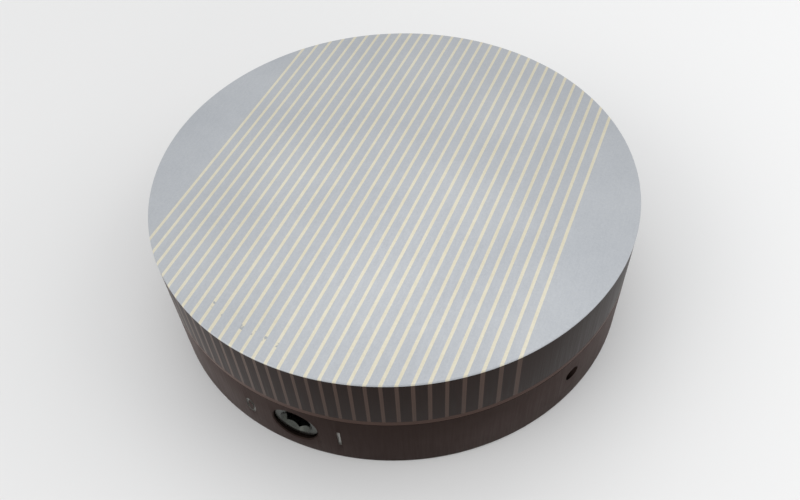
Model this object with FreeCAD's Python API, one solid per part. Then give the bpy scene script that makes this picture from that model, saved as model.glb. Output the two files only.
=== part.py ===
"""Round permanent magnetic chuck with fine parallel poles, switched by a hex key.

Millimetres. Z is up and the origin is the centre of the base's underside. The pole strips run along Y, and the
key shaft lies along Y below them, with its hex socket in the housing's front wall at -Y.

A pole plate of steel lamellae and brass separators stands on a brass seam ring and a steel housing. In the
housing a carrier full of magnets and steel pole bars slides along X by half a pole pitch. At rest the chuck is
off: each pole bar stands under a brass separator and joins the two lamellae beside it. Half a turn of the key
shaft moves the carrier until each bar stands under the middle of a lamella, and the flux goes through the work.
"""

import FreeCAD
import Part

import math
import os

V = FreeCAD.Vector
X, Y, Z = V(1, 0, 0), V(0, 1, 0), V(0, 0, 1)
DOWN = V(0, 0, -1)
OUT = "parts"

# ================================================================ driving sizes
# Outside
chuck_r = 80.0  # plate, seam ring and housing
plate_t = 20.0  # pole plate
seam_t = 2.0  # brass ring between plate and housing
housing_h = 23.0
rim_break = 0.4  # chamfer of the pole plate's top rim
foot_break = 0.6  # chamfer round the base

# Pole plate
pole_pitch = 4.0
separator_t = 1.0  # brass
segment_w = 19.0  # least width of the plain steel segment at each side

# Housing
wall_t = 14.0  # round part of the wall
end_wall_t = 20.0  # flat walls at front and back, which carry the key shaft
cavity_corner_r = 5.0
floor_t = 6.0
register_r = 45.0  # centring recess in the base
register_depth = 2.5

# Mounting holes in the base, tapped M8
mount_holes = 4
mount_first = 45.0  # degrees from +X
mount_hole_r = 3.4
mount_hole_depth = 14.0
drill_point = 118.0  # degrees, of every drilled hole

# M6 socket screws that hold the plate down from below
plate_screws = 6
screw_r = 3.0
screw_head_r = 5.0
screw_head_h = 6.0
screw_in_plate = 6.6
screw_key = 5.0  # across flats
screw_key_depth = 3.2
screw_sunk = 0.6  # head below the base
screw_land = 0.5  # metal between a counterbore and the cavity
screw_hole_gap = 0.3  # round the shank, in housing and ring
screw_head_gap = 0.5
tapped_spare = 2.5  # tapped depth past a screw's end
thread_gap = 0.05  # between a thread and its tapped hole

# Dowels that line plate, ring and housing up
dowel_r = 2.5
dowel_break = 0.3
dowel_in_housing = 8.0
dowel_in_plate = 6.0
dowel_angle = 16.0  # degrees behind the X axis
press_gap = 0.02  # left round a dowel or bush, for its press fit

# Key shaft
key_flats = 8.0
key_depth = 9.0
key_mouth_break = 0.7  # countersink at the corners of the socket
head_r = 7.4
head_break = 0.3
head_gap = 0.05
bore_break = 0.3  # where the shaft's bore meets the outside
face_recess = 1.3  # shaft's face behind the housing's surface
head_short = 0.5  # head stops short of the cavity
journal_r = 3.5
journal_gap = 0.03
journal_in_bush = 9.0
bush_wall = 2.0
bush_len = 10.0
bush_bore_spare = 1.0  # blind bore past the rear bush

# Eccentric lobes and their bronze rings
throw = pole_pitch / 4  # the carrier moves twice the throw, half a pole pitch
lobe_rise = 0.1  # lobe above the journal on its low side, so that a ring can pass
lobe_w = 9.0
lobe_y = 22.0  # each side of the middle
ring_wall = 1.0
ring_gap = 0.02
ring_floor_gap = 0.2
cam_slack = 0.3  # of the throw, each side of a ring in its slot: an even travel is up to 0.21 out

# O-ring and stop
oring_section = 1.5
oring_sides = 8
oring_from_face = 3.2
oring_gap = 0.03
oring_side_gap = 0.2
stop_r = 1.5  # dog point
stop_depth = 2.2  # dog point into the shaft
stop_gap = 0.15
stop_from_face = 13.7
stop_screw_r = 2.5
stop_screw_sunk = 0.4
small_key = 2.5  # hex of the set screws
small_key_depth = 2.2

# Magnet carrier
carrier_wall = 3.5
carrier_floor = 2.0
carrier_side_gap = 0.5  # to the round wall at each end of the travel
carrier_end_gap = 0.5  # to the flat walls
carrier_top_gap = 0.1  # under the pole plate
carrier_corner_r = 4.0
channel_gap = 1.0  # beside the rings in the shaft's channel
channel_roof = 1.2
channel_wall = 2.0  # at least
rib_w = 8.0  # cross walls with the cam slots
pocket_gap = 0.05

# Glide strips under the carrier
glide_t = 1.0
glide_proud = 0.3
glide_gap = 0.05
glide_w = 8.0
glide_len = 28.0
glide_x = 30.0
glide_y = 40.0

# Guide pins through the wall, M5 set screws with a long dog point, and their bushes
guide_y = 33.0
guide_z = 14.2
guide_thread_r = 2.5
guide_thread_short = 2.3  # thread stops short of the cavity
guide_sunk = 2.9
guide_pin_r = 2.0
guide_pin_gap = 0.05
guide_reach = 0.5  # pin's end short of the blind bore's end
guide_bush_wall = 2.0
guide_bush_len = 8.0
guide_bush_in = 2.4  # bush behind the carrier's round side
guide_bore_spare = 1.0  # blind bore past the bush
guide_end_wall = 1.6  # carrier behind the blind bore
guide_side_wall = 1.9  # carrier beside a bush

past = 1.0  # a cut's overshoot, which leaves no trace

# ================================================================ what follows from them
seam_z = housing_h
plate_z = housing_h + seam_t
top_z = plate_z + plate_t
wall_mid_r = chuck_r - wall_t / 2
cavity_r = chuck_r - wall_t
cavity_y = chuck_r - end_wall_t
separator_pairs = math.floor((chuck_r - segment_w) / pole_pitch)
front_y = -chuck_r

screw_circle_r = cavity_r + screw_land + screw_head_gap + screw_head_r
screw_seat_z = screw_sunk + screw_head_h
screw_tip_z = plate_z + screw_in_plate
dowel_z = seam_z - dowel_in_housing
dowel_len = dowel_in_housing + seam_t + dowel_in_plate

travel = 2 * throw
lobe_r = journal_r + throw + lobe_rise
ring_r = lobe_r + ring_gap + ring_wall
cam_r = ring_r + throw  # furthest reach of a ring from the shaft's axis
cam_gap = cam_slack * throw
key_z = floor_t + ring_floor_gap + cam_r
head_bore_r = head_r + head_gap
journal_bore_r = journal_r + journal_gap
rear_seat_r = journal_bore_r + bush_wall
face_y = front_y + face_recess
stop_y = face_y + stop_from_face
oring_y = face_y + oring_from_face
oring_inner_r = head_bore_r - oring_gap - oring_section

carrier_x = -travel / 2  # carrier's centre, switched off
carrier_r = cavity_r - travel / 2 - carrier_side_gap
carrier_y = cavity_y - carrier_end_gap
carrier_z = floor_t + glide_gap + glide_proud
carrier_top = plate_z - carrier_top_gap
pocket_z = carrier_z + carrier_floor
channel_half = cam_r + channel_gap
channel_top = key_z + cam_r + cam_gap
roof_z = channel_top + channel_roof

bar_t = pole_pitch / 2  # pole bars and magnets share the pitch
bar_rows = math.floor((carrier_r - carrier_wall - travel / 2 - bar_t / 2) / pole_pitch)
stack_half = bar_rows * pole_pitch + bar_t / 2
tunnel_joints = math.ceil((channel_half + channel_wall - carrier_x - bar_t / 2) / bar_t)
tunnel_half = tunnel_joints * bar_t + bar_t / 2  # block round the channel, ends at a joint in the stack

guide_wall_x = math.sqrt(chuck_r**2 - guide_y**2)
guide_cavity_x = math.sqrt(cavity_r**2 - guide_y**2)
guide_side_x = math.sqrt(carrier_r**2 - guide_y**2)
guide_bush_r = guide_pin_r + guide_pin_gap + guide_bush_wall
guide_bush_x = guide_side_x - guide_bush_in - guide_bush_len  # inner end, from the carrier's centre
guide_bore_x = guide_bush_x - guide_bore_spare
guide_block_x = guide_bore_x - guide_end_wall
guide_tip_x = guide_bore_x + travel / 2 + guide_reach  # pin's end, from the middle of the housing


# ================================================================ shapes used more than once
def rod(radius, start, along, length):
    """Round bar from a point, along a direction."""
    return Part.makeCylinder(radius, length, start, along)


def tube(outer_r, inner_r, start, along, length):
    return rod(outer_r, start, along, length).cut(rod(inner_r, start, along, length))


def block(x0, x1, y0, y1, z0, z1):
    return Part.makeBox(x1 - x0, y1 - y0, z1 - z0, V(x0, y0, z0))


def on_circle(radius, degrees, z=0.0):
    a = math.radians(degrees)
    return V(radius * math.cos(a), radius * math.sin(a), z)


def round_edges(shape, radius, along):
    """Circular edges of one radius about a direction."""
    found = []
    for edge in shape.Edges:
        curve = edge.Curve
        if isinstance(curve, Part.Circle) and abs(curve.Radius - radius) < 1e-6:
            if abs(abs(curve.Axis.dot(along)) - 1) < 1e-6:
                found.append(edge)
    return found


def flatted_disc(radius, half_y, corner_r, z0, z1):
    """Disc with a flat at front and back, its four corners rounded as a cutter leaves them."""
    disc = rod(radius, V(0, 0, z0), Z, z1 - z0)
    disc = disc.common(block(-radius, radius, -half_y, half_y, z0, z1))
    corner_x = math.sqrt(radius**2 - half_y**2)
    corners = []
    for edge in disc.Edges:
        a, b = edge.Vertexes[0].Point, edge.Vertexes[-1].Point
        upright = abs(a.z - b.z) > (z1 - z0) / 2
        if upright and abs(abs(a.x) - corner_x) < 1e-6 and abs(a.x - b.x) < 1e-6:
            corners.append(edge)
    return disc.makeFillet(corner_r, corners)


def hexagon(flats, start, along, length, corner):
    """Hexagonal bar from a point along a direction, with one corner towards `corner`."""
    side = along.cross(corner)
    size = flats / math.sqrt(3)
    points = []
    for k in range(7):
        a = math.radians(60 * k)
        points.append(start + corner * (size * math.cos(a)) + side * (size * math.sin(a)))
    return Part.Face(Part.makePolygon(points)).extrude(along * length)


def drill_tip(radius, start, along):
    """Cone that a drill leaves at the end of a blind hole."""
    return Part.makeCone(radius, 0, radius / math.tan(math.radians(drill_point / 2)), start, along)


def together(shapes):
    return shapes[0].multiFuse(shapes[1:])


def save(name, *solids):
    """One file for each named piece, or for a set of identical ones."""
    shape = solids[0] if len(solids) == 1 else Part.makeCompound(list(solids))
    if not shape.isValid():
        raise ValueError(f"{name} is not a valid shape")
    shape.exportStep(os.path.join(OUT, name + ".step"))
    print(f"{name}: {len(shape.Solids)} solid(s), {shape.Volume / 1000:.2f} cm3")


# ================================================================ fasteners between plate, ring and housing
screw_places = [on_circle(screw_circle_r, 360 / plate_screws * k) for k in range(plate_screws)]
dowel_places = [on_circle(wall_mid_r, a, dowel_z) for a in (dowel_angle, 180 - dowel_angle)]


def fastener_holes():
    """Counterbored, cleared and tapped holes of the plate screws, and the dowels' holes."""
    holes = []
    for p in screw_places:
        holes.append(rod(screw_head_r + screw_head_gap, p + DOWN * past, Z, screw_seat_z + past))
        holes.append(rod(screw_r + screw_hole_gap, p, Z, plate_z))
        holes.append(rod(screw_r + thread_gap, p, Z, screw_tip_z + tapped_spare))
    for p in dowel_places:
        holes.append(rod(dowel_r + press_gap, p, Z, dowel_len))
    return holes


def plate_screw(place):
    head = rod(screw_head_r, place + Z * screw_sunk, Z, screw_head_h)
    shank = rod(screw_r, place + Z * screw_seat_z, Z, screw_tip_z - screw_seat_z)
    socket = hexagon(screw_key, place + Z * screw_sunk, Z, screw_key_depth, X)
    return head.fuse(shank).cut(socket)


def dowel(place):
    pin = rod(dowel_r, place + Z * press_gap, Z, dowel_len - 2 * press_gap)
    return pin.makeChamfer(dowel_break, round_edges(pin, dowel_r, Z))


def set_screw(radius, outer_end, along, length, dog_r, dog_len):
    """Set screw with a dog point, and a hex socket in its outer end."""
    body = rod(radius, outer_end, along, length)
    dog = rod(dog_r, outer_end + along * length, along, dog_len)
    socket = hexagon(small_key, outer_end, along, small_key_depth, Y if abs(along.y) < 0.5 else X)
    return body.fuse(dog).cut(socket)


# ================================================================ pole plate
def plate_blank():
    """The plate before it is divided into strips: a disc with a broken top rim and the holes below."""
    disc = rod(chuck_r, V(0, 0, plate_z), Z, plate_t)
    top_rim = [e for e in round_edges(disc, chuck_r, Z) if e.CenterOfMass.z > plate_z + plate_t / 2]
    return disc.makeChamfer(rim_break, top_rim).cut(fastener_holes())


def strip(blank, x0, x1):
    return blank.common(block(x0, x1, -chuck_r, chuck_r, plate_z, top_z))


def separators(blank):
    """Brass strips, one in the middle and the rest in pairs."""
    places = [k * pole_pitch for k in range(-separator_pairs, separator_pairs + 1)]
    return [strip(blank, x - separator_t / 2, x + separator_t / 2) for x in places]


def lamellae(blank):
    """Steel strips between the brass ones."""
    half = (pole_pitch - separator_t) / 2
    places = [(k + 0.5) * pole_pitch for k in range(-separator_pairs, separator_pairs)]
    return [strip(blank, x - half, x + half) for x in places]


def segments(blank):
    """The plain steel segments left and right of the strips."""
    edge = separator_pairs * pole_pitch + separator_t / 2
    return strip(blank, -chuck_r, -edge), strip(blank, edge, chuck_r)


# ================================================================ ring and housing
def cavity(z0, z1):
    return flatted_disc(cavity_r, cavity_y, cavity_corner_r, z0, z1)


def seam_ring():
    ring = rod(chuck_r, V(0, 0, seam_z), Z, seam_t)
    return ring.cut([cavity(seam_z, plate_z)] + fastener_holes())


guide_signs = [(sx, sy) for sx in (-1, 1) for sy in (-1, 1)]


def shaft_bores():
    """Front bore through the wall, with its edge broken, and the blind seat of the rear bush."""
    front = rod(head_bore_r, V(0, front_y - past, key_z), Y, end_wall_t + 2 * past)
    depth = bush_len + bush_bore_spare
    rear = rod(rear_seat_r, V(0, cavity_y - past, key_z), Y, depth + past)
    return [front, rear]


def base_cuts():
    """Centring recess, tapped mounting holes and the stop screw's hole, all from below."""
    cuts = [rod(register_r, V(0, 0, -past), Z, register_depth + past)]
    for k in range(mount_holes):
        place = on_circle(wall_mid_r, mount_first + 360 / mount_holes * k)
        cuts.append(rod(mount_hole_r, place + DOWN * past, Z, mount_hole_depth + past))
        cuts.append(drill_tip(mount_hole_r, place + Z * mount_hole_depth, Z))
    cuts.append(rod(stop_screw_r + thread_gap, V(0, stop_y, -past), Z, key_z + past))
    return cuts


def housing():
    outer = rod(chuck_r, V(0, 0, 0), Z, housing_h)
    foot = [e for e in round_edges(outer, chuck_r, Z) if e.CenterOfMass.z < housing_h / 2]
    outer = outer.makeChamfer(foot_break, foot)
    cuts = [cavity(floor_t, housing_h)] + shaft_bores() + base_cuts() + fastener_holes()
    for sx, sy in guide_signs:
        cuts.append(rod(guide_thread_r + thread_gap, V(0, sy * guide_y, guide_z), X * sx, chuck_r))
    return break_mouth(outer.cut(cuts))


def break_mouth(body):
    """Chamfer the edge where the front bore comes out of the round wall."""
    rim = []
    for edge in body.Edges:
        box = edge.BoundBox
        spans_bore = abs(box.XLength - 2 * head_bore_r) < 0.01 and abs(box.ZLength - 2 * head_bore_r) < 0.01
        if spans_bore and box.YMax < -cavity_y - end_wall_t / 2:
            rim.append(edge)
    return body.makeChamfer(bore_break, rim)


# ================================================================ key shaft
def key_socket():
    """Hex socket with its countersunk mouth, cut into the shaft's face."""
    face = V(0, face_y, key_z)
    corner_r = key_flats / math.sqrt(3)
    recess = hexagon(key_flats, face - Y * past, Y, key_depth + past, Z)
    mouth = Part.makeCone(corner_r + key_mouth_break, corner_r - key_mouth_break,
                          2 * key_mouth_break, face, Y)
    return [recess, mouth, drill_tip(key_flats / 2, face + Y * key_depth, Y)]


def oring_groove():
    half = oring_section / 2 + oring_side_gap
    return tube(head_r + past, oring_inner_r, V(0, oring_y - half, key_z), Y, 2 * half)


def stop_groove():
    """Half-turn groove for the stop's dog point, round the +X side from a round end at -Z to one at +Z."""
    width = stop_r + stop_gap
    floor_r = head_r - stop_depth - stop_gap
    ring = tube(head_r + past, floor_r, V(0, stop_y - width, key_z), Y, 2 * width)
    half = ring.common(block(0, 2 * head_r, stop_y - width, stop_y + width, 0, key_z + 2 * head_r))
    ends = [rod(width, V(0, stop_y, key_z) + way * floor_r, way, head_r) for way in (Z, DOWN)]
    return [half] + ends


def key_shaft():
    """Head in the front wall, journal right through, and two lobes that stand `throw` towards -X."""
    head_end = -cavity_y - head_short
    head = rod(head_r, V(0, face_y, key_z), Y, head_end - face_y)
    head = head.makeChamfer(head_break, round_edges(head, head_r, Y))
    journal = rod(journal_r, V(0, head_end, key_z), Y, cavity_y + journal_in_bush - head_end)
    lobes = [rod(lobe_r, ring_start(side), Y, lobe_w) for side in (-1, 1)]
    return together([head, journal] + lobes).cut(key_socket() + [oring_groove()] + stop_groove())


def ring_start(side):
    """Front end of a lobe's axis, switched off."""
    return V(-throw, side * lobe_y - lobe_w / 2, key_z)


def cam_ring(side):
    return tube(ring_r, lobe_r + ring_gap, ring_start(side), Y, lobe_w)


def oring():
    """Ring in the head's groove, with a section of a few flats, as it is squeezed to."""
    centre = V(0, oring_y, key_z + oring_inner_r + oring_section / 2)
    corner_r = oring_section / 2 / math.cos(math.pi / oring_sides)
    points = []
    for k in range(oring_sides + 1):
        a = 2 * math.pi * (k + 0.5) / oring_sides
        points.append(centre + V(0, corner_r * math.cos(a), corner_r * math.sin(a)))
    return Part.Face(Part.makePolygon(points)).revolve(V(0, oring_y, key_z), Y, 360)


def stop_screw():
    length = key_z - head_bore_r - stop_gap - stop_screw_sunk
    tip_z = key_z - head_r + stop_depth
    return set_screw(stop_screw_r, V(0, stop_y, stop_screw_sunk), Z, length,
                     stop_r, tip_z - stop_screw_sunk - length)


def rear_bush():
    return tube(rear_seat_r - press_gap, journal_bore_r, V(0, cavity_y, key_z), Y, bush_len)


# ================================================================ guide pins
def guide_pin(sx, sy):
    outer_x = guide_wall_x - guide_sunk
    thread_end_x = guide_cavity_x + guide_thread_short
    return set_screw(guide_thread_r, V(sx * outer_x, sy * guide_y, guide_z), X * -sx,
                     outer_x - thread_end_x, guide_pin_r, thread_end_x - guide_tip_x)


def guide_bush(sx, sy):
    start = V(carrier_x + sx * guide_bush_x, sy * guide_y, guide_z)
    return tube(guide_bush_r, guide_pin_r + guide_pin_gap, start, X * sx, guide_bush_len)


def guide_bores(sx, sy):
    """Blind bore in the carrier, widened for the bush from the carrier's round side."""
    axis = V(carrier_x, sy * guide_y, guide_z)
    return [
        rod(guide_bush_r + press_gap, axis + X * (sx * guide_bush_x), X * sx, carrier_r),
        rod(guide_pin_r + 2 * guide_pin_gap, axis + X * (sx * guide_bore_x), X * sx, carrier_r),
    ]


# ================================================================ magnet carrier
def pocket(gap, z0, z1):
    """Room for the stack: round, with flats at front and back, and blocks left for the guide bushes."""
    disc = flatted_disc(carrier_r - carrier_wall - gap, carrier_y - carrier_wall - gap,
                        carrier_corner_r, z0, z1)
    disc.translate(V(carrier_x, 0, 0))
    corners = []
    for sx, sy in guide_signs:
        xs = sorted((carrier_x + sx * (guide_block_x - gap), sx * chuck_r))
        ys = sorted((sy * (guide_y - guide_bush_r - guide_side_wall - gap), sy * chuck_r))
        corners.append(block(xs[0], xs[1], ys[0], ys[1], z0, z1))
    edge = stack_half + pocket_gap - gap
    return disc.cut(corners).common(block(-edge, edge, -chuck_r, chuck_r, z0, z1))


def carrier():
    outline = flatted_disc(carrier_r, carrier_y, carrier_corner_r, carrier_z, carrier_top)
    outline.translate(V(carrier_x, 0, 0))
    tunnel = block(-tunnel_half, tunnel_half, -chuck_r, chuck_r, pocket_z, roof_z)
    cuts = [pocket(0, pocket_z, carrier_top).cut(tunnel), channel()]
    for sx, sy in guide_signs:
        cuts.append(glide(sx, sy, 0))
        cuts += guide_bores(sx, sy)
    return outline.cut(cuts)


def channel():
    """The shaft's tunnel, open below, with two cross ribs left in it and a cam slot in each rib."""
    low = carrier_z - past
    left, right = carrier_x - channel_half, carrier_x + channel_half
    tunnel = block(left, right, -chuck_r, chuck_r, low, channel_top)
    ribs = []
    for side in (-1, 1):
        y = side * lobe_y
        ribs.append(block(left, right, y - rib_w / 2, y + rib_w / 2, low, channel_top))
    slot = ring_r + cam_gap
    slots = block(carrier_x - slot, carrier_x + slot, -chuck_r, chuck_r, low, channel_top)
    return tunnel.cut(ribs).fuse(slots)


def stack(places):
    """Bars or magnets: full height, or resting on the tunnel's roof where they cross it."""
    room = pocket(pocket_gap, pocket_z, carrier_top)
    pieces = []
    for x in places:
        low = roof_z if abs(x) < tunnel_half else pocket_z
        slab = block(x - bar_t / 2, x + bar_t / 2, -chuck_r, chuck_r, low, carrier_top)
        pieces.append(room.common(slab))
    return pieces


def pole_bars():
    return stack([k * pole_pitch for k in range(-bar_rows, bar_rows + 1)])


def magnets():
    return stack([(k + 0.5) * pole_pitch for k in range(-bar_rows, bar_rows)])


def glide(sx, sy, gap):
    """Glide strip let into the carrier's underside, or with no gap the groove for it."""
    x, y = carrier_x + sx * glide_x, sy * glide_y
    low = floor_t + glide_gap
    return block(x - glide_len / 2 + gap, x + glide_len / 2 - gap,
                 y - glide_w / 2 + gap, y + glide_w / 2 - gap, low, low + glide_t)


# ================================================================ build
def main():
    os.makedirs(OUT, exist_ok=True)
    blank = plate_blank()
    left, right = segments(blank)
    save("pole_lamellae", *lamellae(blank))
    save("pole_separators", *separators(blank))
    save("pole_segment_left", left)
    save("pole_segment_right", right)
    save("seam_ring", seam_ring())
    save("housing", housing())
    save("plate_screws", *[plate_screw(p) for p in screw_places])
    save("dowel_pins", *[dowel(p) for p in dowel_places])
    save("key_shaft", key_shaft())
    save("cam_ring_front", cam_ring(-1))
    save("cam_ring_rear", cam_ring(1))
    save("shaft_oring", oring())
    save("stop_screw", stop_screw())
    save("rear_bush", rear_bush())
    save("guide_pins", *[guide_pin(sx, sy) for sx, sy in guide_signs])
    save("guide_bushes", *[guide_bush(sx, sy) for sx, sy in guide_signs])
    save("magnet_carrier", carrier())
    save("pole_bars", *pole_bars())
    save("magnets", *magnets())
    save("glide_strips", *[glide(sx, sy, pocket_gap) for sx, sy in guide_signs])


main()
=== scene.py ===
# %% [markdown]
# # A round magnetic chuck
# A permanent magnetic chuck holds steel work on its striped top face. The stripes are steel and brass
# strips, the drum below hides a sliding pack of magnets, and a hex key in the wall switches the pull on
# and off. The measured model is loaded first and fixes every size. This lesson then gives it its looks:
# the strips, the seam band and the drum are modelled again with finer edges, and every surface gets its
# finish.

import math

import bpy
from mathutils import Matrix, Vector


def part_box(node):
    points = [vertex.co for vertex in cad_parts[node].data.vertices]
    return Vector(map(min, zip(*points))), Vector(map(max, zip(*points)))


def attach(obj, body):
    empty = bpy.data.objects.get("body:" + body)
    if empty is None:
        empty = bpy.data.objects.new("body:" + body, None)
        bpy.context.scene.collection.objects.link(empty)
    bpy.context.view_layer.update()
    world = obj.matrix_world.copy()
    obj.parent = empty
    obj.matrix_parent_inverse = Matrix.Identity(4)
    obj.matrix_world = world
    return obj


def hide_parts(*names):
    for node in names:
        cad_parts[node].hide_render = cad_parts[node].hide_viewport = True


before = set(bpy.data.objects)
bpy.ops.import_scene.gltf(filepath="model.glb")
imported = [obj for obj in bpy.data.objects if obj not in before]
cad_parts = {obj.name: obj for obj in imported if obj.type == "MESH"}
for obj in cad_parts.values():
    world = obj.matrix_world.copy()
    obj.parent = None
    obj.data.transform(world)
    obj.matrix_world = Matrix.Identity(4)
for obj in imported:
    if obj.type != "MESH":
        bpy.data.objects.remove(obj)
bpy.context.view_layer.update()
MM = 0.001

# %% [markdown]
# The sizes come from the model's own boxes, so that nothing has to be fitted later. The plate's box gives
# the radius and the top, the seam ring's box gives the joint lines, and the key shaft's box gives the
# key's axis.

# %% Sizes that the pieces share
seam_low, seam_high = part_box("seam_ring")
strips_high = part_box("pole_lamellae")[1]
segment_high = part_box("pole_segment_right")[1]
shaft_low, shaft_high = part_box("key_shaft")
ring_low, ring_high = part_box("cam_ring_front")
screw_low, screw_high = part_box("plate_screws")
RADIUS = segment_high.x
SEAM_Z, PLATE_Z, TOP_Z = seam_low.z, seam_high.z, strips_high.z
PITCH = 4 * MM
BRASS_T = 1 * MM
PAIRS = round(strips_high.x / PITCH)
KEY_Z = (ring_low.z + ring_high.z) / 2
HEAD_R = (shaft_high.x - shaft_low.x) / 2
ROUND_STEPS = 360
print(f"radius {RADIUS / MM:.1f} mm, top at {TOP_Z / MM:.1f} mm, {2 * PAIRS + 1} brass strips")

# %% [markdown]
# Blender's operators act on whatever is selected, and loading leaves the measured pieces selected. These
# small helpers deselect first, then add a shape, name it, or cut one shape with another. A finished piece
# keeps its object at the origin, with its place in its mesh, as the measured pieces do.

# %% Helpers for modelling
def deselect():
    if bpy.context.mode != "OBJECT":
        bpy.ops.object.mode_set(mode="OBJECT")
    bpy.ops.object.select_all(action="DESELECT")


def activate(piece):
    deselect()
    piece.select_set(True)
    bpy.context.view_layer.objects.active = piece


def settle(name):
    """Name the shape that an operator has just made, and move its place into its mesh."""
    piece = bpy.context.object
    piece.name = piece.data.name = name
    bpy.ops.object.transform_apply(location=True, rotation=True, scale=True)
    return piece


def cylinder(name, radius, low, high, axis="Z", steps=64, place=(0, 0), ends="NGON"):
    """Closed cylinder between two heights on an axis, at a place in the other two coordinates."""
    deselect()
    middle = (low + high) / 2
    a, b = place
    spots = {"Z": (a, b, middle), "Y": (a, middle, b), "X": (middle, a, b)}
    turns = {"Z": (0, 0, 0), "Y": (math.pi / 2, 0, 0), "X": (0, math.pi / 2, 0)}
    bpy.ops.mesh.primitive_cylinder_add(vertices=steps, radius=radius, depth=high - low, end_fill_type=ends,
                                        location=spots[axis], rotation=turns[axis])
    return settle(name)


def edit(piece, mode="FACE"):
    activate(piece)
    bpy.ops.object.mode_set(mode="EDIT")
    bpy.ops.mesh.select_mode(type=mode)
    bpy.ops.mesh.select_all(action="DESELECT")
    bpy.ops.object.mode_set(mode="OBJECT")


def pick_edges(piece, test):
    """Select the edges whose two ends pass a test."""
    edit(piece, "EDGE")
    points = piece.data.vertices
    for e in piece.data.edges:
        e.select = all(test(points[i].co) for i in e.vertices)
    bpy.ops.object.mode_set(mode="EDIT")


def bevel_edges(piece, test, width, segments=2):
    pick_edges(piece, test)
    bpy.ops.mesh.bevel(offset=width, segments=segments, affect="EDGES")
    bpy.ops.object.mode_set(mode="OBJECT")


def cut(piece, cutters, materials="INDEX"):
    """Take cutters away from a piece, one after the other, and delete them."""
    for tool in cutters:
        activate(piece)
        hole = piece.modifiers.new("cut", "BOOLEAN")
        hole.operation = "DIFFERENCE"
        hole.solver = "EXACT"
        hole.material_mode = materials
        hole.object = tool
        bpy.ops.object.modifier_apply(modifier=hole.name)
        bpy.data.objects.remove(tool)


def smooth(piece, angle=28):
    activate(piece)
    bpy.ops.object.shade_smooth_by_angle(angle=math.radians(angle))


def dress(piece, body, slot, material, *nodes):
    """Give a finished piece its material, hang it on its body, and hide the measured pieces it stands for."""
    piece.data.materials.clear()
    piece.data.materials.append(material)
    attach(piece, body)
    if nodes:
        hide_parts(*nodes)


# %% [markdown]
# ## Camera
# The camera stands above and in front, a little to the right of the key, close to the object. Being close
# makes the near rim look wide and the drum taper downwards. Its tilt is worked out from where it stands
# and the point it looks at, and a small given roll is then added.

# %% Camera
CAM_AZIMUTH, CAM_RISE, CAM_REACH = 25.4, 44.1, 3.264 * RADIUS
CAM_ROLL, CAM_LENS, SENSOR = -3.33, 35.4, 36
AIM_BELOW, AIM_RIGHT = 0.4836 * RADIUS, 0.0123 * RADIUS
azimuth, rise = math.radians(CAM_AZIMUTH), math.radians(CAM_RISE)
toward = Vector((math.sin(azimuth) * math.cos(rise), -math.cos(azimuth) * math.cos(rise), math.sin(rise)))
right = Vector((math.cos(azimuth), math.sin(azimuth), 0))
spot = Vector((0, 0, TOP_Z)) + toward * CAM_REACH
aim = Vector((0, 0, TOP_Z - AIM_BELOW)) + right * AIM_RIGHT
deselect()
bpy.ops.object.camera_add(location=spot)
camera = bpy.context.object
camera.name = "camera"
camera.data.sensor_width = SENSOR
camera.data.lens = CAM_LENS
look = (aim - spot).to_track_quat("-Z", "Y")
camera.rotation_euler = look.to_euler()
camera.rotation_euler.rotate_axis("Z", math.radians(CAM_ROLL))
camera.data.clip_start, camera.data.clip_end = 0.01, 20
bpy.context.scene.camera = camera
print("camera at", [round(v, 3) for v in spot])

# %% [markdown]
# ## Studio
# A pale world lights everything evenly, because ground steel shows whatever stands opposite it. Three
# large soft lamps then shape it: one opposite the camera brightens the face, one at the right brightens
# the floor there, and one at the front left lightens the shadow and the wall.

# %% Floor and lights
FLOOR_HALF = 3.0
FLOOR_DROP = 0.05 * MM
WORLD_TINT, WORLD_STRENGTH = (0.97, 0.985, 1.0, 1), 0.85
WARM, WARMER = (1.0, 0.99, 0.97), (1.0, 0.98, 0.96)
deselect()
bpy.ops.mesh.primitive_plane_add(size=2 * FLOOR_HALF, location=(0, 0, -FLOOR_DROP))
floor = settle("studio_floor")


def area_light(name, spot, aim, size, power, tint=(1, 1, 1)):
    deselect()
    bpy.ops.object.light_add(type="AREA", location=spot)
    light = bpy.context.object
    light.name = name
    light.data.shape = "DISK"
    light.data.size = size
    light.data.energy = power
    light.data.color = tint
    light.rotation_euler = (Vector(aim) - Vector(spot)).to_track_quat("-Z", "Y").to_euler()
    return light


world = bpy.data.worlds.new("studio")
bpy.context.scene.world = world
world.use_nodes = True
world.node_tree.nodes["Background"].inputs["Color"].default_value = WORLD_TINT
world.node_tree.nodes["Background"].inputs["Strength"].default_value = WORLD_STRENGTH
area_light("light_opposite", (-0.35, 0.7, 1.5), (0, 0, 0), 1.2, 2.6)
area_light("light_right", (1.1, 0.5, 0.9), (0.4, 0.1, 0), 1.2, 3.6, WARM)
area_light("light_front_left", (-0.75, -0.85, 0.75), (-0.05, -0.12, 0), 1.0, 3.2, WARMER)
bpy.context.scene.view_settings.view_transform = "Standard"

# %% [markdown]
# ## Finishes
# Every finish is built from nodes that read Object coordinates, so a pattern keeps its real size in
# metres and stays where it is on the piece. A short helper adds a node and sets its inputs in one line.

# %% Helpers for materials
def new_material(name):
    material = bpy.data.materials.new(name)
    material.use_nodes = True
    return material, material.node_tree, material.node_tree.nodes["Principled BSDF"]


def node(tree, kind, **settings):
    """Add a node. A setting named like an input sets or links that input, others set the node itself."""
    made = tree.nodes.new(kind)
    for key, value in settings.items():
        if key in made.inputs:
            feed(tree, value, made.inputs[key])
        else:
            setattr(made, key, value)
    return made


def feed(tree, value, socket):
    if isinstance(value, bpy.types.NodeSocket):
        tree.links.new(value, socket)
    else:
        socket.default_value = value


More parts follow.
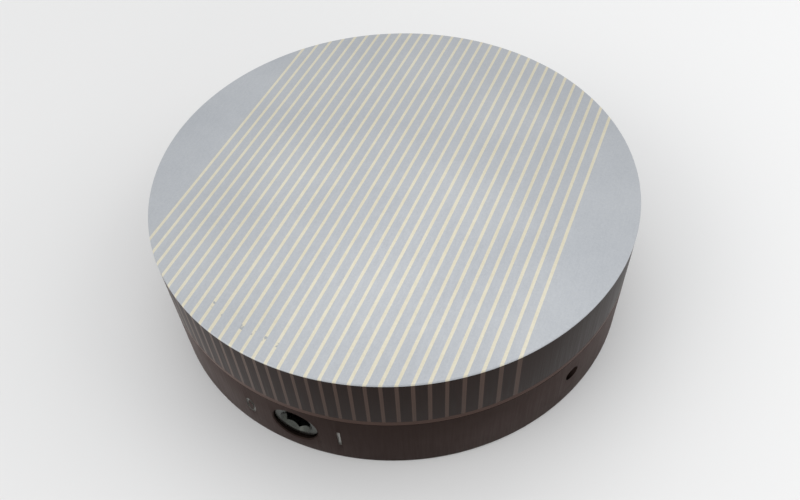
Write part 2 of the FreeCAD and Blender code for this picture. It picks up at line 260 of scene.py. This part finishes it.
def math_node(tree, operation, *values):
    made = tree.nodes.new("ShaderNodeMath")
    made.operation = operation
    for value, socket in zip(values, made.inputs):
        feed(tree, value, socket)
    return made.outputs[0]


def mix_colours(tree, factor, a, b, blend="MIX"):
    made = tree.nodes.new("ShaderNodeMix")
    made.data_type = "RGBA"
    made.blend_type = blend
    feed(tree, factor, made.inputs[0])
    feed(tree, a, made.inputs[6])
    feed(tree, b, made.inputs[7])
    return made.outputs[2]


def ranged(tree, value, low, high, new_low, new_high):
    made = node(tree, "ShaderNodeMapRange")
    for socket, number in zip(made.inputs, (value, low, high, new_low, new_high)):
        feed(tree, number, socket)
    return made.outputs[0]


def noise(tree, stretch, detail=4.0, roughness=0.55):
    """Noise over Object coordinates, with a number of waves per metre along each axis."""
    spots = node(tree, "ShaderNodeTexCoord").outputs["Object"]
    mapped = node(tree, "ShaderNodeMapping", Vector=spots, Scale=stretch).outputs[0]
    made = node(tree, "ShaderNodeTexNoise", Vector=mapped, Scale=1.0, Detail=detail, Roughness=roughness)
    return made.outputs["Fac"]


def bump(tree, height, strength, depth):
    made = node(tree, "ShaderNodeBump", Height=height, Strength=strength, Distance=depth)
    return made.outputs["Normal"]


# %% [markdown]
# The drum and the band are plain turned steel and brass in dark colours, which are partly painted shade:
# the shadow and dark reflection on their wall are put into the colour. Fine upright streaks on the wall and
# soft blotches lie over each other, an oil stain with painted shade deepens towards +X, and the underside
# is ground bright. The same helper makes the finish of every other metal piece, and of the ferrite, rubber
# and plastic.

# %% Finish of turned and milled metal
# Oil stain and painted shade: colours are multiplied darker towards +X, partly standing for the shade on that
# side.
STAIN_AND_SHADE = (0.33, 0.28, 0.265, 1)
STAIN_EDGE = (0.86, 0.77, 0.75, 1)
STAIN_SHADE_FROM, STAIN_SHADE_TO = -0.9 * RADIUS, 0.2 * RADIUS
STAIN_SHADE_WANDER = 0.15 * RADIUS
GRAIN_DEPTH = 0.02 * MM
BASE_SKIN = 0.05 * MM


def stained_and_shaded(tree, colour, dark):
    """Oil stain and painted shade: the colour is multiplied darker towards +X, partly oil and partly the shade on
    that side.
    """
    spots = node(tree, "ShaderNodeTexCoord").outputs["Object"]
    along = node(tree, "ShaderNodeSeparateXYZ", Vector=spots).outputs["X"]
    wander = ranged(tree, noise(tree, (30, 30, 30), 2), 0, 1, -STAIN_SHADE_WANDER, STAIN_SHADE_WANDER)
    where = math_node(tree, "ADD", along, wander)
    return mix_colours(tree, ranged(tree, where, STAIN_SHADE_FROM, STAIN_SHADE_TO, 0, 1), colour, dark, "MULTIPLY")


def metal(name, colour, colour_2, rough, stretch=(900, 900, 60), strength=0.25, blotch=35, metallic=1.0,
          stain_and_shade=None, ground_base=False):
    """Metal with a directional grain and soft blotches."""
    material, tree, shader = new_material(name)
    grain = noise(tree, stretch, 4, 0.6)
    cloud = noise(tree, (blotch, blotch, blotch), 3, 0.5)
    tone = math_node(tree, "ADD", math_node(tree, "MULTIPLY", ranged(tree, grain, 0.3, 0.7, 0, 1), 0.45),
                     math_node(tree, "MULTIPLY", ranged(tree, cloud, 0.35, 0.65, 0, 1), 0.55))
    base = mix_colours(tree, tone, colour, colour_2)
    if stain_and_shade:
        base = stained_and_shaded(tree, base, stain_and_shade)
        shader.inputs["Specular Tint"].default_value = STAIN_EDGE
    if ground_base:
        spots = node(tree, "ShaderNodeTexCoord").outputs["Object"]
        height = node(tree, "ShaderNodeSeparateXYZ", Vector=spots).outputs["Z"]
        below = math_node(tree, "LESS_THAN", height, BASE_SKIN)
        ground = mix_colours(tree, tone, (0.3, 0.3, 0.3, 1), (0.4, 0.4, 0.4, 1))
        base = mix_colours(tree, below, base, ground)
    feed(tree, base, shader.inputs["Base Color"])
    feed(tree, ranged(tree, tone, 0, 1, rough - 0.07, rough + 0.09), shader.inputs["Roughness"])
    feed(tree, bump(tree, grain, strength, GRAIN_DEPTH), shader.inputs["Normal"])
    shader.inputs["Metallic"].default_value = metallic
    return material


# Dark base colours of drum and band: partly painted shade, with the wall's shadow and dark reflection put into
# the colour.
drum_steel = metal("turned_drum_steel", (0.045, 0.032, 0.028, 1), (0.068, 0.051, 0.045, 1), 0.42,
                   (1500, 1500, 70), stain_and_shade=STAIN_AND_SHADE, ground_base=True)
band_brass = metal("turned_band_brass", (0.19, 0.145, 0.127, 1), (0.25, 0.196, 0.172, 1), 0.4,
                   (1500, 1500, 200), stain_and_shade=STAIN_AND_SHADE)
shaft_steel = metal("turned_shaft_steel", (0.05, 0.053, 0.046, 1), (0.1, 0.104, 0.094, 1), 0.27,
                    (2600, 60, 2600))
black_steel = metal("blackened_screw_steel", (0.02, 0.02, 0.021, 1), (0.045, 0.043, 0.042, 1), 0.38,
                    (900, 900, 900))
pin_steel = metal("ground_pin_steel", (0.45, 0.45, 0.46, 1), (0.55, 0.55, 0.56, 1), 0.28, (3000, 3000, 150))
bronze = metal("turned_bronze", (0.5, 0.33, 0.16, 1), (0.64, 0.45, 0.24, 1), 0.32, (2600, 150, 2600))
aluminium = metal("milled_aluminium", (0.6, 0.61, 0.62, 1), (0.72, 0.73, 0.74, 1), 0.35, (400, 2600, 400))
bar_steel = metal("ground_bar_steel", (0.46, 0.47, 0.48, 1), (0.58, 0.59, 0.6, 1), 0.36, (2600, 200, 900))
ferrite = metal("ferrite", (0.035, 0.035, 0.037, 1), (0.06, 0.06, 0.062, 1), 0.62,
                (1800, 1800, 1800), 0.5, 90, 0.0)
rubber = metal("seal_rubber", (0.012, 0.012, 0.012, 1), (0.03, 0.03, 0.03, 1), 0.6,
               (900, 900, 900), 0.3, 60, 0.0)
glide = metal("glide_plastic", (0.62, 0.58, 0.48, 1), (0.75, 0.72, 0.62, 1), 0.5,
              (500, 500, 500), 0.2, 50, 0.0)

floor_finish, floor_tree, floor_shader = new_material("studio_paper")
floor_spots = node(floor_tree, "ShaderNodeTexCoord").outputs["Object"]
floor_x = node(floor_tree, "ShaderNodeSeparateXYZ", Vector=floor_spots).outputs["X"]
# Painted light: the floor's colour grows brighter towards +X, standing for light that falls brighter on that
# side.
painted_light_fade = ranged(floor_tree, floor_x, -0.15, 0.35, 0, 1)
feed(floor_tree, mix_colours(floor_tree, painted_light_fade, (0.77, 0.765, 0.76, 1), (0.95, 0.945, 0.94, 1)),
     floor_shader.inputs["Base Color"])
floor_shader.inputs["Roughness"].default_value = 0.9
floor_shader.inputs["Specular IOR Level"].default_value = 0.1
floor.data.materials.append(floor_finish)
print("materials:", len(bpy.data.materials))

# %% [markdown]
# The plate's strips carry two finishes: the face is surface ground, bright and fine, while the turned
# side is given dark colours that are painted shade, the wall's shadow and dark reflection, with an oil
# stain and more painted shade towards +X. Which finish shows is decided by height: above the rim it is
# the ground one. Both get a grain: long scratches along the strips on the face, and short upright streaks
# down the side, as a grinding wheel leaves them.

# %% Finish of the pole plate
RIM = 0.5 * MM
WORN_CIRCLE, WORN_HALF = 0.915 * RADIUS, 0.012 * RADIUS
WORN_X, WORN_HALF_X, WORN_BEHIND = -0.2 * RADIUS, 0.16 * RADIUS, -0.5 * RADIUS


def worn(tree, spots):
    """Short breaks in the brass, in a row just inside the front-left rim, where work has rubbed it."""
    flat = node(tree, "ShaderNodeSeparateXYZ", Vector=spots).outputs
    across = math_node(tree, "MULTIPLY", flat["X"], flat["X"])
    reach = math_node(tree, "SQRT", math_node(tree, "ADD", across,
                                              math_node(tree, "MULTIPLY", flat["Y"], flat["Y"])))
    on_circle = math_node(tree, "COMPARE", reach, WORN_CIRCLE, WORN_HALF)
    at_left = math_node(tree, "COMPARE", flat["X"], WORN_X, WORN_HALF_X)
    at_front = math_node(tree, "LESS_THAN", flat["Y"], WORN_BEHIND)
    patchy = ranged(tree, noise(tree, (520, 520, 520), 1), 0.5, 0.56, 0, 1)
    return math_node(tree, "MULTIPLY", math_node(tree, "MULTIPLY", on_circle, at_left),
                     math_node(tree, "MULTIPLY", at_front, patchy))


def plate_material(name, face, face_2, side, side_2, face_rough, side_rough, mottle, rubbed=False):
    """Ground face above the rim; below it a streaked side whose dark colours are painted shade, stained and
    shaded darker towards +X.
    """
    material, tree, shader = new_material(name)
    spots = node(tree, "ShaderNodeTexCoord").outputs["Object"]
    height = node(tree, "ShaderNodeSeparateXYZ", Vector=spots).outputs["Z"]
    on_face = math_node(tree, "GREATER_THAN", height, TOP_Z - RIM)
    cloud = ranged(tree, noise(tree, (28, 28, 28), 3), 0.35, 0.65, 0, 1)
    grain = noise(tree, (5200, 260, 900), 3, 0.6)
    speck = noise(tree, (1900, 1900, 1900), 2, 0.5)
    streak = noise(tree, (2300, 2300, 45), 4, 0.65)
    tone = math_node(tree, "ADD", math_node(tree, "MULTIPLY", cloud, 0.5),
                     math_node(tree, "MULTIPLY", ranged(tree, speck, 0.3, 0.7, 0, 1), mottle))
    face_colour = mix_colours(tree, tone, face, face_2)
    if rubbed:
        face_colour = mix_colours(tree, worn(tree, spots), face_colour, (0.42, 0.43, 0.43, 1))
    # The side colours are painted shade: the wall's shadow and dark reflection are put into them, and the stain
    # adds oil and more painted shade towards +X.
    streaked_shaded_side = mix_colours(tree, ranged(tree, streak, 0.3, 0.7, 0, 1), side, side_2)
    shaded_side_colour = stained_and_shaded(tree, streaked_shaded_side, STAIN_AND_SHADE)
    feed(tree, mix_colours(tree, on_face, shaded_side_colour, face_colour), shader.inputs["Base Color"])
    face_roughness = ranged(tree, grain, 0.3, 0.7, face_rough - 0.06, face_rough + 0.07)
    side_roughness = ranged(tree, streak, 0.3, 0.7, side_rough - 0.08, side_rough + 0.08)
    on_side = math_node(tree, "SUBTRACT", 1.0, on_face)
    weighed = math_node(tree, "ADD", math_node(tree, "MULTIPLY", on_face, face_roughness),
                        math_node(tree, "MULTIPLY", on_side, side_roughness))
    feed(tree, weighed, shader.inputs["Roughness"])
    relief = math_node(tree, "ADD", math_node(tree, "MULTIPLY", on_face, grain),
                       math_node(tree, "MULTIPLY", on_side, streak))
    feed(tree, bump(tree, relief, 0.35, GRAIN_DEPTH), shader.inputs["Normal"])
    shader.inputs["Metallic"].default_value = 1.0
    return material


# Each finish has face colours and much darker side colours for the same metal: the side ones are painted shade.
plate_steel = plate_material("ground_pole_steel", (0.455, 0.473, 0.5, 1), (0.535, 0.55, 0.57, 1),
                             (0.054, 0.04, 0.036, 1), (0.096, 0.074, 0.067, 1), 0.5, 0.45, 0.5)
plate_brass = plate_material("ground_brass", (0.66, 0.61, 0.475, 1), (0.75, 0.71, 0.59, 1),
                             (0.19, 0.145, 0.123, 1), (0.29, 0.222, 0.188, 1), 0.5, 0.42, 0.5, rubbed=True)
print("plate finishes made")

# %% [markdown]
# ## Pole plate
# On the real plate the strips are brazed into one block, which is then turned and ground as one disc. The
# model follows that order: one finely divided disc gets its softened rim, and a copy of it is then sliced
# by two planes for each strip. Slicing keeps every strip's ends on the same true circle.

# %% The turned disc
RIM_BREAK = 0.4 * MM
SCREW_HEAD_R, SCREW_R = 5 * MM, 3 * MM
SCREW_SEAT, SCREW_TIP = 6.6 * MM, screw_high.z
SCREW_CIRCLE = screw_high.x - SCREW_HEAD_R
screw_spots = []
for k in range(6):
    turn = math.radians(60 * k)
    screw_spots.append((SCREW_CIRCLE * math.cos(turn), SCREW_CIRCLE * math.sin(turn)))
dowel_low, dowel_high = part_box("dowel_pins")
DOWEL_R = 2.5 * MM
DOWEL_Y = dowel_low.y + DOWEL_R
dowel_spots = [(dowel_low.x + DOWEL_R, DOWEL_Y), (dowel_high.x - DOWEL_R, DOWEL_Y)]
TAP_GAP, PRESS_GAP, TAP_SPARE = 0.05 * MM, 0.02 * MM, 2.5 * MM

disc = cylinder("plate_disc", RADIUS, PLATE_Z, TOP_Z, steps=ROUND_STEPS)
bevel_edges(disc, lambda p: p.z > TOP_Z - MM, RIM_BREAK, 3)
tapped = [cylinder("tapped", SCREW_R + TAP_GAP, PLATE_Z - MM, SCREW_TIP + TAP_SPARE, steps=32, place=spot)
          for spot in screw_spots]
reamed = [cylinder("reamed", DOWEL_R + PRESS_GAP, PLATE_Z - MM, dowel_high.z, steps=32, place=spot)
          for spot in dowel_spots]
cut(disc, tapped + reamed)

# %% [markdown]
# A copy of the disc becomes each strip. Two bisecting planes cut it, and the cut faces are filled.

# %% How a strip is sliced


def slice_of(disc, name, low, high):
    """Copy of the disc, cut off at two planes across X and closed there."""
    activate(disc)
    bpy.ops.object.duplicate()
    piece = bpy.context.object
    piece.name = piece.data.name = name
    for x, keep_below in ((low, False), (high, True)):
        if abs(x) < RADIUS:
            bpy.ops.object.mode_set(mode="EDIT")
            bpy.ops.mesh.select_all(action="SELECT")
            bpy.ops.mesh.bisect(plane_co=(x, 0, 0), plane_no=(1, 0, 0), use_fill=True,
                                clear_inner=not keep_below, clear_outer=keep_below)
            bpy.ops.object.mode_set(mode="OBJECT")
    return piece


def joined(pieces, name):
    deselect()
    for piece in pieces:
        piece.select_set(True)
    bpy.context.view_layer.objects.active = pieces[0]
    bpy.ops.object.join()
    made = bpy.context.object
    made.name = made.data.name = name
    return made


# %% Strips and segments
brass_at = [k * PITCH for k in range(-PAIRS, PAIRS + 1)]
steel_at = [(k + 0.5) * PITCH for k in range(-PAIRS, PAIRS)]
half_brass, half_steel = BRASS_T / 2, (PITCH - BRASS_T) / 2
brass_strips = joined([slice_of(disc, "brass_strip", x - half_brass, x + half_brass) for x in brass_at],
                      "brass_strips")
steel_strips = joined([slice_of(disc, "steel_strip", x - half_steel, x + half_steel) for x in steel_at],
                      "steel_strips")
outer_x = PAIRS * PITCH + half_brass
left_segment = slice_of(disc, "plain_segment_left", -2 * RADIUS, -outer_x)
right_segment = slice_of(disc, "plain_segment_right", outer_x, 2 * RADIUS)
bpy.data.objects.remove(disc)
for piece in (brass_strips, steel_strips, left_segment, right_segment):
    smooth(piece)
dress(brass_strips, "chuck", "brass", plate_brass, "pole_separators")
dress(steel_strips, "chuck", "pole_steel", plate_steel, "pole_lamellae")
dress(left_segment, "chuck", "pole_steel", plate_steel, "pole_segment_left")
dress(right_segment, "chuck", "pole_steel", plate_steel, "pole_segment_right")
print("strips:", len(brass_at), "brass,", len(steel_at), "steel")

# %% [markdown]
# ## Seam band and drum
# The band is a flat brass ring with tiny breaks at its two edges, which show as hairlines between plate,
# band and drum. The drum starts as a solid cylinder with a softened foot. Its cavity, bores and screw
# holes are then cut out with the Boolean modifier, as a lathe and a drill would do it.

# %% Seam band
HAIR = 0.12 * MM
WALL, END_WALL, CAVITY_FLOOR = 14 * MM, 20 * MM, 6 * MM
CAVITY_R, CAVITY_Y = RADIUS - WALL, RADIUS - END_WALL
CLEARANCE_R = SCREW_R + 0.3 * MM


def cavity_cutter(low, high):
    """Round cutter with a flat at front and back, where the wall is thicker to carry the key shaft."""
    tool = cylinder("cavity", CAVITY_R, low, high, steps=ROUND_STEPS)
    for side in (-1, 1):
        bpy.ops.object.mode_set(mode="EDIT")
        bpy.ops.mesh.select_all(action="SELECT")
        bpy.ops.mesh.bisect(plane_co=(0, side * CAVITY_Y, 0), plane_no=(0, side, 0), use_fill=True,
                            clear_outer=True)
        bpy.ops.object.mode_set(mode="OBJECT")
    return tool


band = cylinder("seam_band", RADIUS, SEAM_Z, PLATE_Z, steps=ROUND_STEPS)
bevel_edges(band, lambda p: p.z < SEAM_Z + HAIR, HAIR, 1)
bevel_edges(band, lambda p: p.z > PLATE_Z - HAIR, HAIR, 1)
cut(band, [cavity_cutter(SEAM_Z - MM, PLATE_Z + MM)])
cut(band, [cylinder("hole", CLEARANCE_R, SEAM_Z - MM, PLATE_Z + MM, steps=32, place=spot)
           for spot in screw_spots])
cut(band, [cylinder("hole", DOWEL_R + PRESS_GAP, SEAM_Z - MM, PLATE_Z + MM, steps=32, place=spot)
           for spot in dowel_spots])
smooth(band)
dress(band, "chuck", "brass", band_brass, "seam_ring")
print("band faces:", len(band.data.polygons))

# %% [markdown]
# The drum's wall is cut by the key shaft's bore. Where a bore comes out through a round wall its edge is
# a saddle, so the cutter that breaks this edge is a fan-ended cylinder whose two rims are moved onto the
# round wall: the outer rim just outside it and wider, the inner rim just inside it and as wide as the
# bore.

# %% Drum blank and the bore of the key shaft
FOOT_BREAK = 0.6 * MM
BORE_R = HEAD_R + TAP_GAP
MOUTH_BREAK = 0.35 * MM
REAR_SEAT_DEPTH = 11 * MM


def mouth_cutter(radius):
    """Saddle-shaped cutter for the edge where a bore along Y meets the front of the round wall."""
    tool = cylinder("mouth", radius, -RADIUS, -RADIUS + MM, axis="Y", steps=96, place=(0, KEY_Z),
                    ends="TRIFAN")
    for v in tool.data.vertices:
        outer = v.co.y < -RADIUS + MM / 2
        off_x, off_z = v.co.x, v.co.z - KEY_Z
        if math.hypot(off_x, off_z) < radius / 2:
            v.co.y = -RADIUS - 3 * MM if outer else -RADIUS + 6 * MM
        else:
            wider = 1 + (2 * MOUTH_BREAK / radius if outer else 0)
            v.co.x, v.co.z = off_x * wider, KEY_Z + off_z * wider
            reach = RADIUS + (MOUTH_BREAK if outer else -MOUTH_BREAK)
            v.co.y = -math.sqrt(reach ** 2 - v.co.x ** 2)
    return tool


drum = cylinder("drum", RADIUS, 0, SEAM_Z, steps=ROUND_STEPS)
bevel_edges(drum, lambda p: p.z < MM, FOOT_BREAK, 2)
bevel_edges(drum, lambda p: p.z > SEAM_Z - MM, HAIR, 1)
cut(drum, [cavity_cutter(CAVITY_FLOOR, SEAM_Z + MM)])
rear_bush_low, rear_bush_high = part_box("rear_bush")
REAR_SEAT_R = (rear_bush_high.x - rear_bush_low.x) / 2 + PRESS_GAP
cut(drum, [
    cylinder("front_bore", BORE_R, -RADIUS - MM, -CAVITY_Y + MM, axis="Y", steps=96, place=(0, KEY_Z)),
    mouth_cutter(BORE_R),
    cylinder("rear_seat", REAR_SEAT_R, CAVITY_Y - MM, CAVITY_Y + REAR_SEAT_DEPTH, axis="Y", steps=64,
             place=(0, KEY_Z)),
])
print("drum with cavity and bore:", len(drum.data.polygons), "faces")

# %% [markdown]
# The stop screw's cutter stands a hundredth of a millimetre aside, because a Boolean can leave gaps where
# corners of two round cutters fall on the same line. The base has a round recess that centres the chuck,
# four blind tapped holes, six counterbores for the screws that hold the plate, and the hole of the stop
# screw. A drill leaves a cone at the bottom of a blind hole, which is the fan's middle point pulled up.

# %% Holes in the base and the side
MOUNT_R, MOUNT_DEPTH = 3.4 * MM, 14 * MM
REGISTER_R, REGISTER_DEPTH = 45 * MM, 2.5 * MM
MOUNT_CIRCLE = RADIUS - WALL / 2
DRILL_ANGLE = 118
DRILL_TIP = MOUNT_R / math.tan(math.radians(DRILL_ANGLE / 2))
mount_spots = []
for k in range(4):
    turn = math.radians(45 + 90 * k)
    mount_spots.append((MOUNT_CIRCLE * math.cos(turn), MOUNT_CIRCLE * math.sin(turn)))


def drilled(spot):
    tool = cylinder("drilled", MOUNT_R, -MM, MOUNT_DEPTH, steps=48, place=spot, ends="TRIFAN")
    for v in tool.data.vertices:
        if v.co.z > 0 and math.hypot(v.co.x - spot[0], v.co.y - spot[1]) < MM:
            v.co.z += DRILL_TIP
    return tool


stop_low, stop_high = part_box("stop_screw")
STOP_ASIDE = 0.01 * MM
stop_spot = (STOP_ASIDE, (stop_low.y + stop_high.y) / 2)
guide_low, guide_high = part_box("guide_pins")
GUIDE_R = 2.5 * MM
GUIDE_Y, GUIDE_Z = guide_high.y - GUIDE_R, (guide_low.z + guide_high.z) / 2
cut(drum, [cylinder("register", REGISTER_R, -MM, REGISTER_DEPTH, steps=180)])
cut(drum, [drilled(spot) for spot in mount_spots])
cut(drum, [cylinder("counterbore", SCREW_HEAD_R + 0.5 * MM, -MM, SCREW_SEAT, steps=60, place=spot)
           for spot in screw_spots])
cut(drum, [cylinder("clearance", CLEARANCE_R, SCREW_SEAT - MM, SEAM_Z + MM, steps=32, place=spot)
           for spot in screw_spots])
cut(drum, [cylinder("reamed", DOWEL_R + PRESS_GAP, dowel_low.z, SEAM_Z + MM, steps=32, place=spot)
           for spot in dowel_spots])
cut(drum, [cylinder("stop", GUIDE_R + TAP_GAP, -MM, KEY_Z - BORE_R / 2, steps=32, place=stop_spot)])
for side in (-1, 1):
    for depth in (-1, 1):
        near, far = sorted((side * (CAVITY_R - 12 * MM), side * (RADIUS + MM)))
        cut(drum, [cylinder("guide", GUIDE_R + TAP_GAP, near, far, axis="X", steps=32,
                            place=(depth * GUIDE_Y, GUIDE_Z))])
print("drum with its holes:", len(drum.data.polygons), "faces")

# %% [markdown]
# The two positions of the key are engraved as a 0 and a 1. Text is made a mesh, stood up beside the key, and sunk
# into the wall by a Boolean. The Boolean passes the cutter's own material on, so the cut shows bare metal.

# %% Engraved figures
bare_steel = metal("bare_engraved_steel", (0.22, 0.215, 0.2, 1), (0.34, 0.335, 0.32, 1), 0.35,
                   (900, 900, 900))
MARK_HEIGHT, MARK_DEPTH = 7.4 * MM, 0.35 * MM
CAPITAL, NARROW = 0.7, 0.75
MARK_BOLD, MARK_HALF_T, MARK_BELOW = 0.12 * MM, 2 * MM, 1.2 * MM
marks = {"0": -16.2 * MM, "1": 14.4 * MM}


def figure_cutter(text, along):
    """Solid figure that stands across the wall, at an arc length from the key."""
    deselect()
    bpy.ops.object.text_add()
    figure = bpy.context.object
    figure.data.body = text
    figure.data.size = MARK_HEIGHT / CAPITAL
    figure.data.align_x = "CENTER"
    figure.data.align_y = "CENTER"
    figure.data.extrude = MARK_HALF_T
    figure.data.offset = MARK_BOLD
    figure.data.resolution_u = 4
    figure.scale.x = NARROW
    bpy.ops.object.convert(target="MESH")
    turn = along / RADIUS
    reach = RADIUS - MARK_DEPTH + MARK_HALF_T
    figure.rotation_euler = (math.pi / 2, 0, turn)
    figure.location = (reach * math.sin(turn), -reach * math.cos(turn), KEY_Z - MARK_BELOW)
    made = settle("figure")
    made.data.materials.append(bare_steel)
    return made


drum.data.materials.append(drum_steel)
for text, along in marks.items():
    cut(drum, [figure_cutter(text, along)], materials="TRANSFER")
print("materials on the drum:", [m.name for m in drum.data.materials])

# %% Drum handed over
activate(drum)
bpy.ops.object.mode_set(mode="EDIT")
bpy.ops.mesh.select_all(action="SELECT")
bpy.ops.mesh.remove_doubles(threshold=0.001 * MM)
bpy.ops.mesh.dissolve_degenerate(threshold=0.001 * MM)
bpy.ops.object.mode_set(mode="OBJECT")
smooth(drum)
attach(drum, "chuck")
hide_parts("housing")

# %% [markdown]
# ## Screws and threads in the base
# Six cap screws pull the plate down from below. A bought screw has a knurled head, a softened rim and a
# hexagon socket, so one is modelled with these and copied to the other five places.

# %% Cap screw
KNURLS, KNURL_DEPTH = 32, 0.16 * MM
SCREW_HEAD_LOW = screw_low.z
SOCKET_FLATS, SOCKET_DEPTH = 5 * MM, 3.2 * MM
SOCKET_R = SOCKET_FLATS / math.sqrt(3)
first_spot = screw_spots[0]
screw = cylinder("cap_screw", SCREW_HEAD_R, SCREW_HEAD_LOW, SCREW_SEAT, steps=2 * KNURLS, place=first_spot)
bevel_edges(screw, lambda p: p.z < SCREW_HEAD_LOW + 0.1 * MM, 0.5 * MM, 2)
centre = Vector((first_spot[0], first_spot[1], 0))
for v in screw.data.vertices:
    off = v.co - centre
    turn = round(math.atan2(off.y, off.x) / (math.pi / KNURLS))
    if off.xy.length > SCREW_HEAD_R - 0.1 * MM and turn % 2:
        v.co.x -= KNURL_DEPTH * math.cos(turn * math.pi / KNURLS)
        v.co.y -= KNURL_DEPTH * math.sin(turn * math.pi / KNURLS)
cut(screw, [cylinder("socket", SOCKET_R, SCREW_HEAD_LOW - MM, SCREW_HEAD_LOW + SOCKET_DEPTH, steps=6,
                     place=first_spot)])
shank = cylinder("shank", SCREW_R, SCREW_SEAT, SCREW_TIP, steps=32, place=first_spot)
bevel_edges(shank, lambda p: p.z > SCREW_TIP - 0.1 * MM, 0.5 * MM, 1)
screw = joined([screw, shank], "cap_screw")
cap_screws = [screw]
for k in range(1, len(screw_spots)):
    activate(screw)
    bpy.ops.object.duplicate()
    copy = bpy.context.object
    copy.rotation_euler.z = math.radians(60 * k)
    bpy.ops.object.transform_apply(location=True, rotation=True, scale=True)
    cap_screws.append(copy)
screws = joined(cap_screws, "cap_screws")
smooth(screws, 35)
dress(screws, "chuck", "screw_steel", black_steel, "plate_screws")
print("cap screws:", len(cap_screws))

# %% [markdown]
# The mounting holes are tapped. A thread is a small triangle wound up the hole by the Screw modifier,
# which turns the profile round Z and lifts it by one pitch each turn.

# %% Threads of the mounting holes
THREAD_PITCH, THREAD_TURNS, THREAD_SIZE = 1.25 * MM, 9, 0.42 * MM
THREAD_START = 0.2 * MM


def thread(spot):
    deselect()
    bpy.ops.mesh.primitive_circle_add(vertices=3, radius=THREAD_SIZE, fill_type="NOTHING",
                                      location=(MOUNT_R, 0, THREAD_SIZE + THREAD_START),
                                      rotation=(math.pi / 2, 0, 0))
    made = settle("thread")
    wind = made.modifiers.new("wind", "SCREW")
    wind.steps = wind.render_steps = 24
    wind.iterations = THREAD_TURNS
    wind.screw_offset = THREAD_PITCH
    bpy.ops.object.modifier_apply(modifier=wind.name)
    made.location = (spot[0], spot[1], 0)
    bpy.ops.object.transform_apply(location=True, rotation=True, scale=True)
    bpy.ops.object.mode_set(mode="EDIT")
    bpy.ops.mesh.select_all(action="SELECT")
    bpy.ops.mesh.fill_holes(sides=3)
    bpy.ops.mesh.normals_make_consistent(inside=False)
    bpy.ops.object.mode_set(mode="OBJECT")
    return made


threads = joined([thread(spot) for spot in mount_spots], "mount_threads")
smooth(threads, 20)
dress(threads, "chuck", "housing_steel", drum_steel)
print("threads:", len(threads.data.polygons), "faces")

# %% [markdown]
# ## Finishes of the measured pieces
# Pieces whose measured shape is already right keep it and only get their finish. The hidden ones, which the new
# pieces stand for, get the same finish as those, so that nothing is left plain.

# %% Finish of the measured pieces
finish_of = {
    "key_shaft": shaft_steel, "shaft_oring": rubber, "cam_ring_front": bronze, "cam_ring_rear": bronze,
    "plate_screws": black_steel, "stop_screw": black_steel, "guide_pins": black_steel,
    "dowel_pins": pin_steel,
    "rear_bush": bronze, "guide_bushes": bronze, "magnet_carrier": aluminium, "pole_bars": bar_steel,
    "magnets": ferrite, "glide_strips": glide, "pole_lamellae": plate_steel, "pole_separators": plate_brass,
    "pole_segment_left": plate_steel, "pole_segment_right": plate_steel, "seam_ring": band_brass,
    "housing": drum_steel,
}
for name, material in finish_of.items():
    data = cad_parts[name].data
    data.materials.clear()
    data.materials.append(material)
print("finished:", len(finish_of), "measured pieces")
